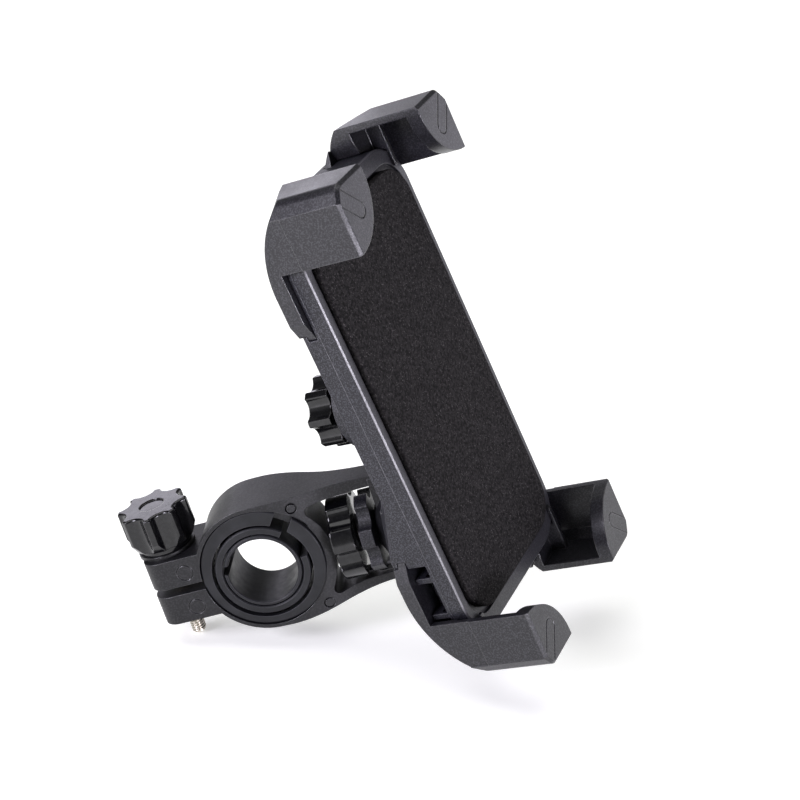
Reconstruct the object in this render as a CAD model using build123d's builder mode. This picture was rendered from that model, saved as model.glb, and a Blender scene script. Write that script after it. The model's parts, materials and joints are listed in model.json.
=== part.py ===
from build123d import *
import math
import os

os.makedirs("parts", exist_ok=True)

# Bicycle phone mount: a split handlebar clamp with an arm, a ball swivel at the arm's end, and a
# holder whose four corner claws slide out together when one knob on its back is turned.
# Millimetres, +Z up, origin at the centre of the handlebar bore, +Y along the bore.

# ---------------------------------------------------------------- driving dimensions
CLEARANCE = 0.3                 # between pieces that move past each other
RUNNING = 0.05                  # radial gap of a shaft in its hole

# handlebar clamp (x along the arm, y along the bore, z along the clamp screw)
RING_CENTRE = (0.4, 0.85)       # the ring's outside is a little off the bore's centre
RING_R = 17.5
RING_BORE_R = 15.0
RING_LIP_R = 16.5
ARM_WIDTH = 18.4
FLANGE_RECESS = 2.1
SHIM_WALLS = ((9.1, 10.2), (10.5, 12.5), (13.3, 14.9))
SHIM_FLANGE_R = 16.4
SHIM_FLANGE_T = 1.8
SHIM_BEVEL = 0.3
MIDDLE_SPLIT = (6, 49)          # the middle shim is open between these angles
EAR_TIP_X = -30.2
EAR_CORNER_R = 4.5              # corners of the ears, seen from above
EAR_TOP_Z = 9.4
EAR_BOTTOM_Z = -8.8
SLOT_Z = (-0.7, 1.6)
SCREW_X = -24.3
SCREW_R = 2.0
SCREW_END_Z = -16.3
KNOB_WASHER_T = 1.0
KNOB_COLLAR_T = 1.6
KNOB_TOP_Z = 22.2
KNOB_R = 9.5
KNOB_COLLAR_R = 7.0
KNOB_WASHER_R = 7.6
NUT_FLATS = 7.0
NUT_T = 3.2

# arm and swivel
BALL_REACH = 44.1
WEB_END_X = 36.5
WINDOW_R = 19.0
CUP_OUTER_R = 14.0
CUP_INNER_R = 12.5
CUP_RIM_X = 39.0
OUTER_LINER = (11.2, 12.2)
BALL_SHELL = (8.9, 10.9)
INNER_LINER = (7.8, 8.6)
STUD_HEAD_R = 7.5
STUD_R = 2.5
BALL_HOLE_ANGLE = 48.0
STAR_NUT_X = (19.7, 25.8)
STAR_NUT_R = 11.4
STAR_NUT_TURN = -18.7
SAUCER_R = 10.8
SAUCER_TURN = -12.3
STUD_END_X = 19.9

# attitude of the parts at rest, in degrees
ARM_TILT = 17.1
SWIVEL_YAW = -22.5
SWIVEL_PITCH = 6.0
SWIVEL_ROLL = 1.9

# holder (x across the phone, y along it, z towards the screen; z = 0 is the tray's rim)
TRAY_W = 58.0
TRAY_L = 115.7
TRAY_CORNER_R = 12.0
TRAY_DEPTH = 4.2
WALL = 1.6
PAD_W = 51.0
PAD_L = 105.0
PAD_FLOOR = -1.0
PAD_TOP = 1.5
SLAB_BACK = -8.6
CHANNEL_BACK = -14.0
BALL_DROP = 34.4
BALL_BEHIND = 18.4
SEAT_R = 15.6
BOSS_R = 11.0
BOSS_BACK = -24.0
COVER_SCREWS = ((-24.5, -16), (-24.5, 16), (24.5, -16), (24.5, 16), (0, -52), (0, 52))

# claws: a corner is described by a, across, and b, along, both measured outwards
CLAW_A = 31.1
CLAW_B = 65.8
CLAW_CHAMFER = ((31.1, 62.2), (28.6, 65.8))
LIP_CENTRE = (31.3, 63.8)
LIP_R = 14.8
LIP_FRONT = 17.7
LIP_T = 2.0
LIP_EDGE = 0.8
CLAW_WALL = 1.8
CLAW_FLOOR = -3.0
CLAW_CORNER_R = 3.0
PANEL_BACK = 0.9                # the side wall's flat panel starts here
PANEL_STEP = 0.3
RIB_A = (24.0, 25.3)
RIB_B = (51.0, 64.2)
RIB_TOP = 1.2
BACK_CURVE_R = 24.0
SLIDE_ANGLE = 22.65             # between a claw's slide direction and the holder's long axis

# rack and pinion
MODULE = 0.8
TEETH = 12
PITCH_R = MODULE * TEETH / 2
PRESSURE_ANGLE = 20.0
GEAR_TIP_R = PITCH_R + 0.65
GEAR_ROOT_R = PITCH_R - 0.85
RACK_TIP = PITCH_R - 0.55
RACK_ROOT = PITCH_R + 0.95
BACKLASH = 0.12
BAR_OUTER = 10.5
BAR_TAIL = -29.0
WING = (-14.5, 9.0)
WING_START = 39.5

# each level holds two opposite claws: arm plate (low, high), back of the claw, rack side, and how
# far out the back starts to sweep forward
LEVEL_A = {"plate": (-7.3, -5.3), "back": -9.4, "side": 1, "curve": 52.0}
LEVEL_B = {"plate": (-12.5, -10.3), "back": -14.0, "side": -1, "curve": 50.0}

# rear knob that drives the pinion
SHAFT_R = 3.5
CLAW_KNOB_Z = (-33.5, -26.5)
CLAW_KNOB_R = 9.7
CLAW_KNOB_TURN = -8.4
CLAW_COLLAR_R = 7.2

# ---------------------------------------------------------------- frames
CLAMP = Location((0, 0, 0), (0, -ARM_TILT, 0))
HOLDER = (
    CLAMP
    * Location((BALL_REACH, 0, 0))
    * Location((0, 0, 0), (0, 0, SWIVEL_YAW))
    * Location((0, 0, 0), (0, -SWIVEL_PITCH, 0))
    * Plane(origin=(0, 0, 0), x_dir=(0, 1, 0), z_dir=(1, 0, 0)).location
    * Location((0, 0, 0), (0, 0, SWIVEL_ROLL))
    * Location((0, BALL_DROP, BALL_BEHIND))
)
FRONT = Plane.XZ                # looks along the bore: local x along the arm, local y up
ALONG_ARM = Plane.YZ            # local x along the bore, local y up, normal along the arm
COS = math.cos(math.radians(SLIDE_ANGLE))
SIN = math.sin(math.radians(SLIDE_ANGLE))


def corner_point(t, o):
    """Corner (a, b) of a point t out along the slide and o towards the holder's end."""
    return (SIN * t - COS * o, COS * t + SIN * o)


# ================================================================ handlebar clamp
with BuildPart() as clamp_arm:
    ring_top = (RING_CENTRE[0], RING_CENTRE[1] + RING_R)
    ring_bottom = (RING_CENTRE[0], RING_CENTRE[1] - RING_R)
    with BuildSketch(FRONT):
        with Locations(RING_CENTRE):
            Circle(RING_R)
        with BuildLine():
            Spline(ring_top, (8, 18.1), (15, 17.45), (24, 16.85), (WEB_END_X, 16.2))
            Line((WEB_END_X, 16.2), (WEB_END_X, -14.1))
            Spline((WEB_END_X, -14.1), (28.8, -14.0), (20.0, -15.1), (10.1, -16.4), ring_bottom)
            Line(ring_bottom, ring_top)
        make_face()
        with BuildLine():
            Polyline((-8, EAR_TOP_Z), (EAR_TIP_X, EAR_TOP_Z), (EAR_TIP_X, EAR_BOTTOM_Z),
                     (-8, EAR_BOTTOM_Z), (-8, EAR_TOP_Z))
        make_face()
    extrude(amount=ARM_WIDTH / 2, both=True)
    # seen from above, the arm narrows from the ring's width to a slim beam
    with BuildSketch(Plane.XY):
        with BuildLine():
            Spline((3, ARM_WIDTH / 2), (8.5, 8.75), (14, 7.4), (20, 5.25), (26, 4.05),
                   (WEB_END_X + 1, 3.8))
            Polyline((WEB_END_X + 1, 3.8), (WEB_END_X + 1, ARM_WIDTH), (3, ARM_WIDTH), (3, ARM_WIDTH / 2))
        make_face()
        mirror(about=Plane.XZ)
    extrude(amount=2 * RING_R, both=True, mode=Mode.SUBTRACT)
    # window between the two webs
    with BuildSketch(FRONT):
        with BuildLine():
            Polyline((8, 13.6), (WEB_END_X + 1, 13.6), (WEB_END_X + 1, -11.75), (24, -11.75), (20.4, -12.2),
                     (17, -12.9), (8, -13.4), (8, 13.6))
        make_face()
        Circle(WINDOW_R, mode=Mode.SUBTRACT)
        offset(amount=-1.6, kind=Kind.INTERSECTION, mode=Mode.REPLACE)
        offset(amount=1.6, kind=Kind.ARC, mode=Mode.REPLACE)
    extrude(amount=ARM_WIDTH, both=True, mode=Mode.SUBTRACT)
    # round cup at the arm's end that the ball sits in, tied to the webs by an end wall
    with BuildSketch(FRONT):
        with Locations((WEB_END_X - 2.7, 1.0)):
            Rectangle(2.4, 29.0)
    extrude(amount=3.8, both=True)
    with BuildSketch(Plane.XY):
        with Locations((BALL_REACH, 0)):
            Circle(CUP_OUTER_R)
        with Locations((CUP_RIM_X + CUP_OUTER_R, 0)):
            Rectangle(2 * CUP_OUTER_R, 4 * CUP_OUTER_R, mode=Mode.SUBTRACT)
        with Locations((0, -CUP_OUTER_R)):
            Rectangle(4 * BALL_REACH, 2 * CUP_OUTER_R, mode=Mode.SUBTRACT)
    revolve(axis=Axis.X)
    with BuildSketch(Plane.XY):
        with Locations((BALL_REACH, 0)):
            Circle(CUP_INNER_R)
        with Locations((BALL_REACH, -CUP_INNER_R)):
            Rectangle(2 * CUP_INNER_R, 2 * CUP_INNER_R, mode=Mode.SUBTRACT)
    revolve(axis=Axis.X, mode=Mode.SUBTRACT)
    with BuildSketch(ALONG_ARM.offset(BALL_REACH)):
        Circle(STUD_R + 2 * RUNNING)
    extrude(amount=-CUP_OUTER_R - 1, mode=Mode.SUBTRACT)
    # bore, the flange recesses at both faces and the split between the ears
    with BuildSketch(FRONT):
        Circle(RING_BORE_R)
    extrude(amount=ARM_WIDTH, both=True, mode=Mode.SUBTRACT)
    for face_y in (-ARM_WIDTH / 2, ARM_WIDTH / 2):
        with BuildSketch(FRONT.offset(-face_y)):
            with Locations(RING_CENTRE):
                Circle(RING_LIP_R)
        extrude(amount=math.copysign(FLANGE_RECESS, face_y), mode=Mode.SUBTRACT)
    with BuildSketch(FRONT):
        with Locations((-24, (SLOT_Z[0] + SLOT_Z[1]) / 2)):
            Rectangle(24, SLOT_Z[1] - SLOT_Z[0])
    extrude(amount=ARM_WIDTH, both=True, mode=Mode.SUBTRACT)
    fillet(clamp_arm.edges().filter_by(Axis.Z).group_by(Axis.X)[0], EAR_CORNER_R)
    # screw hole through both ears, with a hexagonal pocket for the nut underneath
    with BuildSketch(Plane.XY.offset(EAR_BOTTOM_Z - 1)):
        with Locations((SCREW_X, 0)):
            Circle(SCREW_R + 0.3)
    extrude(amount=EAR_TOP_Z - EAR_BOTTOM_Z + 2, mode=Mode.SUBTRACT)
    with BuildSketch(Plane.XY.offset(EAR_BOTTOM_Z)):
        with Locations((SCREW_X, 0)):
            RegularPolygon(NUT_FLATS / 2 + 0.1, 6, major_radius=False)
    extrude(amount=NUT_T, mode=Mode.SUBTRACT)
    # drain slot through the lower web
    with BuildSketch(Plane.XY.offset(-14)):
        with Locations((29.6, 0)):
            SlotOverall(5.0, 3.0)
    extrude(amount=6.5, mode=Mode.SUBTRACT)
    # shallow round ejector marks on the ears' and the arm's front faces
    with BuildSketch(FRONT.offset(ARM_WIDTH / 2)):
        with Locations((-19.6, 5.2), (-19.8, -5.0)):
            Circle(2.3)
            Circle(1.95, mode=Mode.SUBTRACT)
    extrude(amount=-0.25, mode=Mode.SUBTRACT)
    with BuildSketch(FRONT.offset(7.0)):
        with Locations((12.4, 14.8), (13.6, -14.0)):
            Circle(1.5)
            Circle(1.1, mode=Mode.SUBTRACT)
    extrude(amount=3, mode=Mode.SUBTRACT)
clamp_arm.part = clamp_arm.part.moved(CLAMP)
clamp_arm.part.label = "clamp_arm"
export_step(clamp_arm.part, "parts/clamp_arm.step")


def at_angle(degrees):
    """Plane through the bore's axis whose local x points out at this angle, seen from the front."""
    angle = math.radians(degrees)
    return Plane(origin=(0, 0, 0), x_dir=(math.cos(angle), 0, math.sin(angle)), z_dir=(0, -1, 0))


SHIM_LENGTH = ARM_WIDTH - 2 * (FLANGE_RECESS - SHIM_FLANGE_T)

with BuildPart() as outer_shim:
    with BuildSketch(FRONT):
        Circle(SHIM_WALLS[2][1])
    extrude(amount=SHIM_LENGTH / 2, both=True)
    for side in (-1, 1):
        with BuildSketch(FRONT.offset(side * SHIM_LENGTH / 2)):
            with Locations(RING_CENTRE):
                Circle(SHIM_FLANGE_R)
        extrude(amount=-side * (SHIM_FLANGE_T - RUNNING))
    fillet(outer_shim.edges().filter_by(GeomType.CIRCLE).group_by(SortBy.RADIUS)[-1], 0.6)
    with BuildSketch(FRONT):
        Circle(SHIM_WALLS[2][0])
    extrude(amount=ARM_WIDTH, both=True, mode=Mode.SUBTRACT)
    with BuildSketch(at_angle(54)):
        with Locations((RING_R / 2 + 1, 0)):
            Rectangle(RING_R, 4.6)
    extrude(amount=ARM_WIDTH, both=True, mode=Mode.SUBTRACT)
outer_shim.part = outer_shim.part.moved(CLAMP)
outer_shim.part.label = "outer_shim"
export_step(outer_shim.part, "parts/outer_shim.step")

with BuildPart() as middle_shim:
    with BuildSketch(FRONT):
        Circle(SHIM_WALLS[1][1])
        Circle(SHIM_WALLS[1][0], mode=Mode.SUBTRACT)
    extrude(amount=SHIM_LENGTH / 2 - 0.2, both=True)
    chamfer(middle_shim.edges().filter_by(GeomType.CIRCLE), SHIM_BEVEL)
    with BuildSketch(FRONT):
        with BuildLine():
            opened = [(RING_R * math.cos(math.radians(angle)), RING_R * math.sin(math.radians(angle)))
                      for angle in MIDDLE_SPLIT]
            Polyline((0, 0), *opened, (0, 0))
        make_face()
    extrude(amount=ARM_WIDTH, both=True, mode=Mode.SUBTRACT)
middle_shim.part = middle_shim.part.moved(CLAMP)
middle_shim.part.label = "middle_shim"
export_step(middle_shim.part, "parts/middle_shim.step")

with BuildPart() as inner_shim:
    with BuildSketch(FRONT):
        Circle(SHIM_WALLS[0][1])
        Circle(SHIM_WALLS[0][0], mode=Mode.SUBTRACT)
    extrude(amount=SHIM_LENGTH / 2 - 0.2, both=True)
    chamfer(inner_shim.edges().filter_by(GeomType.CIRCLE), SHIM_BEVEL)
    with BuildSketch(at_angle(165)):
        with Locations((RING_R / 2 + 1, 0)):
            Rectangle(RING_R, 2.6)
    extrude(amount=ARM_WIDTH, both=True, mode=Mode.SUBTRACT)
inner_shim.part = inner_shim.part.moved(CLAMP)
inner_shim.part.label = "inner_shim"
export_step(inner_shim.part, "parts/inner_shim.step")


def star_outline(outer_r, lobes, depth, width):
    """A knob outline: a circle scalloped between its lobes; width is relative to their spacing."""
    Circle(outer_r)
    scallop_r = outer_r * math.sin(math.pi / lobes) * width
    with PolarLocations(outer_r + scallop_r - depth, lobes, start_angle=180 / lobes):
        Circle(scallop_r, mode=Mode.SUBTRACT)


WASHER_TOP_Z = EAR_TOP_Z + KNOB_WASHER_T
COLLAR_TOP_Z = WASHER_TOP_Z + KNOB_COLLAR_T

with BuildPart() as clamp_nut:
    with BuildSketch(Plane.XY.offset(EAR_BOTTOM_Z)):
        with Locations((SCREW_X, 0)):
            RegularPolygon(NUT_FLATS / 2, 6, major_radius=False)
            Circle(SCREW_R + RUNNING, mode=Mode.SUBTRACT)
    extrude(amount=NUT_T - RUNNING)
clamp_nut.part = clamp_nut.part.moved(CLAMP)
clamp_nut.part.label = "clamp_nut"
export_step(clamp_nut.part, "parts/clamp_nut.step")

with BuildPart() as knob_washer:
    with BuildSketch(Plane.XY.offset(EAR_TOP_Z)):
        with Locations((SCREW_X, 0)):
            Circle(KNOB_WASHER_R)
            Circle(SCREW_R + RUNNING, mode=Mode.SUBTRACT)
    extrude(amount=KNOB_WASHER_T)
knob_washer.part = knob_washer.part.moved(CLAMP)
knob_washer.part.label = "knob_washer"
export_step(knob_washer.part, "parts/knob_washer.step")

with BuildPart() as clamp_knob:
    with BuildSketch(Plane.XY.offset(WASHER_TOP_Z)):
        with Locations((SCREW_X, 0)):
            Circle(KNOB_COLLAR_R)
    extrude(amount=KNOB_COLLAR_T)
    with BuildSketch(Plane.XY.offset(COLLAR_TOP_Z)) as knob_section:
        with Locations((SCREW_X, 0)):
            star_outline(KNOB_R, 8, 1.9, 0.92)
        fillet(knob_section.vertices(), 0.6)
    extrude(amount=KNOB_TOP_Z - COLLAR_TOP_Z)
    fillet(clamp_knob.edges().group_by(Axis.Z)[-1], 0.6)
    # the lobes taper inwards at their lower ends
    with BuildSketch(FRONT):
        with Locations((SCREW_X, COLLAR_TOP_Z)):
            Polygon((KNOB_R - 2, -1), (KNOB_R + 1, -1), (KNOB_R + 1, 4.5), align=None)
    revolve(axis=Axis((SCREW_X, 0, 0), (0, 0, 1)), mode=Mode.SUBTRACT)
    # shallow round dish in the top
    with BuildSketch(Plane.XY.offset(KNOB_TOP_Z)):
        with Locations((SCREW_X, 0)):
            Circle(3.4)
    extrude(amount=-0.4, mode=Mode.SUBTRACT)
    with BuildSketch(Plane.XY.offset(WASHER_TOP_Z)):
        with Locations((SCREW_X, 0)):
            Circle(SCREW_R + 0.02)
    extrude(amount=8, mode=Mode.SUBTRACT)
clamp_knob.part = clamp_knob.part.moved(CLAMP)
clamp_knob.part.label = "clamp_knob"
export_step(clamp_knob.part, "parts/clamp_knob.step")

with BuildPart() as clamp_screw:
    with BuildSketch(Plane.XY.offset(SCREW_END_Z)):
        with Locations((SCREW_X, 0)):
            Circle(SCREW_R)
    extrude(amount=WASHER_TOP_Z + 8 - SCREW_END_Z)
    chamfer(clamp_screw.edges().group_by(Axis.Z)[0], 0.4)
clamp_screw.part = clamp_screw.part.moved(CLAMP)
clamp_screw.part.label = "clamp_screw"
export_step(clamp_screw.part, "parts/clamp_screw.step")

# ================================================================ swivel, on the clamp's side
with BuildPart() as swivel_stud:
    with BuildSketch(Plane.XY):
        with Locations((BALL_REACH, 0)):
            Circle(STUD_HEAD_R)
        with Locations((BALL_REACH + STUD_HEAD_R - 1.5, 0)):
            Rectangle(2 * STUD_HEAD_R, 2 * STUD_HEAD_R, mode=Mode.SUBTRACT)
        with Locations(((BALL_REACH - 4 + STUD_END_X) / 2, 0)):
            Rectangle(BALL_REACH - 4 - STUD_END_X, 2 * STUD_R)
        with Locations((0, -STUD_HEAD_R)):
            Rectangle(4 * BALL_REACH, 2 * STUD_HEAD_R, mode=Mode.SUBTRACT)
    revolve(axis=Axis.X)
swivel_stud.part = swivel_stud.part.moved(CLAMP)
swivel_stud.part.label = "swivel_stud"
export_step(swivel_stud.part, "parts/swivel_stud.step")

with BuildPart() as swivel_nut:
    with BuildSketch(ALONG_ARM.offset(STAR_NUT_X[0])) as nut_section:
        with Locations(Location((0, 0, 0), (0, 0, STAR_NUT_TURN))):
            star_outline(STAR_NUT_R, 6, 1.8, 0.7)
        fillet(nut_section.vertices(), 0.5)
    extrude(amount=STAR_NUT_X[1] - STAR_NUT_X[0])
    fillet(swivel_nut.edges().group_by(Axis.X)[0], 0.5)
    with BuildSketch(ALONG_ARM.offset(STAR_NUT_X[0])):
        Circle(STUD_R + RUNNING)
    extrude(amount=STAR_NUT_X[1] - STAR_NUT_X[0], mode=Mode.SUBTRACT)
swivel_nut.part = swivel_nut.part.moved(CLAMP)
swivel_nut.part.label = "swivel_nut"
export_step(swivel_nut.part, "parts/swivel_nut.step")

with BuildPart() as saucer_washer:
    with BuildSketch(ALONG_ARM.offset(STAR_NUT_X[1] + CLEARANCE)):
        Circle(5.0)
    extrude(amount=2.0)
    with BuildSketch(ALONG_ARM.offset(27.4)) as saucer_section:
        with Locations(Location((0, 0, 0), (0, 0, SAUCER_TURN))):
            star_outline(SAUCER_R, 6, 2.6, 0.6)
        fillet(saucer_section.vertices(), 0.5)
    extrude(amount=3.4)
    with BuildSketch(Plane.XY):
        with Locations((BALL_REACH, 0)):
            Circle(CUP_OUTER_R + RUNNING)
        with Locations((BALL_REACH, -CUP_OUTER_R - 1)):
            Rectangle(4 * CUP_OUTER_R, 2 * CUP_OUTER_R + 2, mode=Mode.SUBTRACT)
    revolve(axis=Axis.X, mode=Mode.SUBTRACT)
    with BuildSketch(ALONG_ARM.offset(STAR_NUT_X[1])):
        Circle(STUD_R + RUNNING)
    extrude(amount=8, mode=Mode.SUBTRACT)
saucer_washer.part = saucer_washer.part.moved(CLAMP)
saucer_washer.part.label = "saucer_washer"
export_step(saucer_washer.part, "parts/saucer_washer.step")


# ================================================================ swivel, on the holder's side
def ball_zone(inner_r, outer_r, low_angle, high_angle):
    """A spherical shell about the swivel's centre, between two angles from its rear pole."""
    with BuildPart() as zone:
        with BuildSketch(Plane(origin=(0, -BALL_DROP, -BALL_BEHIND), x_dir=(1, 0, 0), z_dir=(0, -1, 0))):
            low, high = math.radians(low_angle), math.radians(high_angle)
            with BuildLine():
                Line((inner_r * math.sin(low), -inner_r * math.cos(low)),
                     (outer_r * math.sin(low), -outer_r * math.cos(low)))
                CenterArc((0, 0), outer_r, low_angle - 90, high_angle - low_angle)
                Line((outer_r * math.sin(high), -outer_r * math.cos(high)),
                     (inner_r * math.sin(high), -inner_r * math.cos(high)))
                CenterArc((0, 0), inner_r, low_angle - 90, high_angle - low_angle)
            make_face()
        revolve(axis=Axis((0, -BALL_DROP, 0), (0, 0, 1)))
    return zone.part


SEAT_SCREW_R = 13.2
SEAT_SCREWS = [
    (SEAT_SCREW_R * math.cos(math.radians(angle)), SEAT_SCREW_R * math.sin(math.radians(angle)) - BALL_DROP)
    for angle in (30, 150, 270)
]

with BuildPart() as outer_liner:
    add(ball_zone(OUTER_LINER[0], OUTER_LINER[1], BALL_HOLE_ANGLE, 64))
outer_liner.part = outer_liner.part.moved(HOLDER)
outer_liner.part.label = "outer_liner"
export_step(outer_liner.part, "parts/outer_liner.step")

with BuildPart() as inner_liner:
    add(ball_zone(INNER_LINER[0], INNER_LINER[1], BALL_HOLE_ANGLE, 80))
inner_liner.part = inner_liner.part.moved(HOLDER)
inner_liner.part.label = "inner_liner"
export_step(inner_liner.part, "parts/inner_liner.step")

FLANGE_T = 2.1

with BuildPart() as swivel_dome:
    add(ball_zone(BALL_SHELL[0], BALL_SHELL[1], BALL_HOLE_ANGLE, 90))
    with BuildSketch(Plane.XY.offset(-BALL_BEHIND)):
        with Locations((0, -BALL_DROP)):
            Circle(BALL_SHELL[1])
            Circle(BALL_SHELL[0], mode=Mode.SUBTRACT)
    extrude(amount=BALL_BEHIND + CHANNEL_BACK)
    with BuildSketch(Plane.XY.offset(CHANNEL_BACK)):
        with Locations((0, -BALL_DROP)):
            Circle(SEAT_R - 0.3)
            Circle(BALL_SHELL[0], mode=Mode.SUBTRACT)
        with Locations(*SEAT_SCREWS):
            Circle(1.3, mode=Mode.SUBTRACT)
    extrude(amount=-FLANGE_T)
    with BuildSketch(Plane.XY.offset(CHANNEL_BACK - FLANGE_T)):
        with Locations(*SEAT_SCREWS):
            Circle(2.4)
    extrude(amount=1.2, mode=Mode.SUBTRACT)
swivel_dome.part = swivel_dome.part.moved(HOLDER)
swivel_dome.part.label = "swivel_dome"
export_step(swivel_dome.part, "parts/swivel_dome.step")


# ================================================================ holder housing
def rounded_plate(grow, mode=Mode.ADD):
    """The tray's rounded outline, grown or shrunk all round."""
    RectangleRounded(TRAY_W + 2 * grow, TRAY_L + 2 * grow, TRAY_CORNER_R + grow, mode=mode)


with BuildPart() as front_tray:
    with BuildSketch(Plane.XY.offset(-TRAY_DEPTH)):
        rounded_plate(0)
    extrude(amount=TRAY_DEPTH)
    chamfer(front_tray.edges().group_by(Axis.Z)[-1], 0.4)
    with BuildSketch():
        RectangleRounded(PAD_W + 2, PAD_L + 2, 8)
    extrude(amount=PAD_FLOOR, mode=Mode.SUBTRACT)
    # hollow behind the floor, leaving bosses for the cover's screws and the pinion's pivot
    with BuildSketch(Plane.XY.offset(-TRAY_DEPTH)):
        rounded_plate(-WALL)
        with Locations(*COVER_SCREWS):
            Circle(3.4, mode=Mode.SUBTRACT)
        Circle(4.6, mode=Mode.SUBTRACT)
    extrude(amount=TRAY_DEPTH + PAD_FLOOR - WALL, mode=Mode.SUBTRACT)
    with BuildSketch(Plane.XY.offset(-TRAY_DEPTH)):
        with Locations(*COVER_SCREWS):
            Circle(1.25)
        Circle(2.0 + RUNNING)
    extrude(amount=2.4, mode=Mode.SUBTRACT)
front_tray.part = front_tray.part.moved(HOLDER)
front_tray.part.label = "front_tray"
export_step(front_tray.part, "parts/front_tray.step")

with BuildPart() as foam_pad:
    with BuildSketch(Plane.XY.offset(PAD_FLOOR)):
        RectangleRounded(PAD_W, PAD_L, 9)
    extrude(amount=PAD_TOP - PAD_FLOOR)
foam_pad.part = foam_pad.part.moved(HOLDER)
foam_pad.part.label = "foam_pad"
export_step(foam_pad.part, "parts/foam_pad.step")


def slide_rectangle(t_low, t_high, o_low, o_high):
    """Rectangle in a right-hand corner's slide coordinates, drawn across (x) and along (y)."""
    corners = ((t_low, o_low), (t_high, o_low), (t_high, o_high), (t_low, o_high))
    Polygon(*[corner_point(t, o) for t, o in corners], align=None)


def placed(part, hand, turn):
    """A piece drawn for the upper right corner, moved to its own corner of the holder."""
    if hand < 0:
        part = mirror(part, about=Plane.YZ)
    return part.moved(Location((0, 0, 0), (0, 0, turn)))


def arm_passage(level):
    """Space that an arm plate slides in, with clearance all round, for the upper right corner."""
    low, high = level["plate"]
    near, far = sorted((level["side"] * (RACK_TIP - CLEARANCE), level["side"] * (BAR_OUTER + CLEARANCE)))
    with BuildPart() as passage:
        with BuildSketch(Plane.XY.offset(low - CLEARANCE)):
            slide_rectangle(BAR_TAIL - 2 * CLEARANCE, 2 * CLAW_B, near, far)
            slide_rectangle(WING_START - 2 * CLEARANCE, 2 * CLAW_B, WING[0] - CLEARANCE, WING[1] + CLEARANCE)
        extrude(amount=high - low + 2 * CLEARANCE)
    return passage.part


# the four corners: level, hand (+1 right), turn in degrees about the holder's centre
CORNERS = {
    "claw_upper_left": (LEVEL_A, -1, 0),
    "claw_lower_right": (LEVEL_A, -1, 180),
    "claw_upper_right": (LEVEL_B, 1, 0),
    "claw_lower_left": (LEVEL_B, 1, 180),
}
PASSAGES = [placed(arm_passage(level), hand, turn) for level, hand, turn in CORNERS.values()]
CHANNEL_SECTION = Plane(origin=(0, 0, 0), x_dir=(COS, -SIN, 0), z_dir=(-SIN, -COS, 0))
COVER_HOLLOW_Z = SLAB_BACK + 1.0
SCREW_SEAT_Z = -6.8

with BuildPart() as back_cover:
    with BuildSketch(Plane.XY.offset(SLAB_BACK)):
        rounded_plate(0)
    extrude(amount=-TRAY_DEPTH - SLAB_BACK)
    # raised channel along one diagonal, with sloping sides
    with BuildSketch(CHANNEL_SECTION):
        with BuildLine():
            Polyline((-15, CHANNEL_BACK), (15, CHANNEL_BACK), (21, SLAB_BACK), (21, COVER_HOLLOW_Z),
                     (-21, COVER_HOLLOW_Z), (-21, SLAB_BACK), (-15, CHANNEL_BACK))
        make_face()
    extrude(amount=TRAY_L, both=True)
    with BuildSketch(Plane.XY.offset(CHANNEL_BACK)):
        rounded_plate(0)
    extrude(amount=-CHANNEL_BACK, mode=Mode.INTERSECT)
    # round seat under the swivel and the tall boss for the knob's shaft
    with BuildSketch(Plane.XY.offset(CHANNEL_BACK)):
        with Locations((0, -BALL_DROP)):
            Circle(SEAT_R)
    extrude(amount=COVER_HOLLOW_Z - CHANNEL_BACK)
    with BuildSketch(Plane.XY.offset(BOSS_BACK)):
        Circle(BOSS_R)
    extrude(amount=COVER_HOLLOW_Z - BOSS_BACK)
    # hollow for the first pair of arms, leaving the screw bosses
    with BuildSketch(Plane.XY.offset(COVER_HOLLOW_Z)):
        rounded_plate(-WALL)
        with Locations(*COVER_SCREWS):
            Circle(4.0, mode=Mode.SUBTRACT)
    extrude(amount=-COVER_HOLLOW_Z, mode=Mode.SUBTRACT)
    # side openings over the second pair of arms, each crossed by two small tabs
    for turn in (0, 180):
        with BuildSketch(Plane.XY.offset(-10.2)):
            with Locations(Location((0, 0, 0), (0, 0, turn))):
                with Locations((TRAY_W / 2 - 2.5, 43)):
                    Rectangle(7, 20)
                with Locations((TRAY_W / 2 - 3.2, 37.6), (TRAY_W / 2 - 3.2, 48.2)):
                    Rectangle(4.8, 1.4, mode=Mode.SUBTRACT)
        extrude(amount=5.2, mode=Mode.SUBTRACT)
    add(PASSAGES, mode=Mode.SUBTRACT)
    # pinion well, shaft bore and the recess for the friction spring
    with BuildSketch(Plane.XY.offset(LEVEL_B["plate"][0] - CLEARANCE)):
        Circle(GEAR_TIP_R + CLEARANCE)
    extrude(amount=-LEVEL_B["plate"][0], mode=Mode.SUBTRACT)
    with BuildSketch(Plane.XY.offset(BOSS_BACK)):
        Circle(SHAFT_R + RUNNING)
    extrude(amount=-BOSS_BACK, mode=Mode.SUBTRACT)
    with BuildSketch(Plane.XY.offset(BOSS_BACK)):
        Circle(8.0)
    extrude(amount=1.8, mode=Mode.SUBTRACT)
    # sunk seats and holes for the cover's screws, and pilot holes for the swivel's screws
    with BuildSketch(Plane.XY.offset(CHANNEL_BACK - 1)):
        with Locations(*COVER_SCREWS):
            Circle(2.8)
    extrude(amount=SCREW_SEAT_Z - CHANNEL_BACK + 1, mode=Mode.SUBTRACT)
    with BuildSketch(Plane.XY.offset(SCREW_SEAT_Z)):
        with Locations(*COVER_SCREWS):
            Circle(1.25)
    extrude(amount=-SCREW_SEAT_Z, mode=Mode.SUBTRACT)
    with BuildSketch(Plane.XY.offset(CHANNEL_BACK)):
        with Locations(*SEAT_SCREWS):
            Circle(1.25)
    extrude(amount=5.1, mode=Mode.SUBTRACT)
back_cover.part = back_cover.part.moved(HOLDER)
back_cover.part.label = "back_cover"
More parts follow.
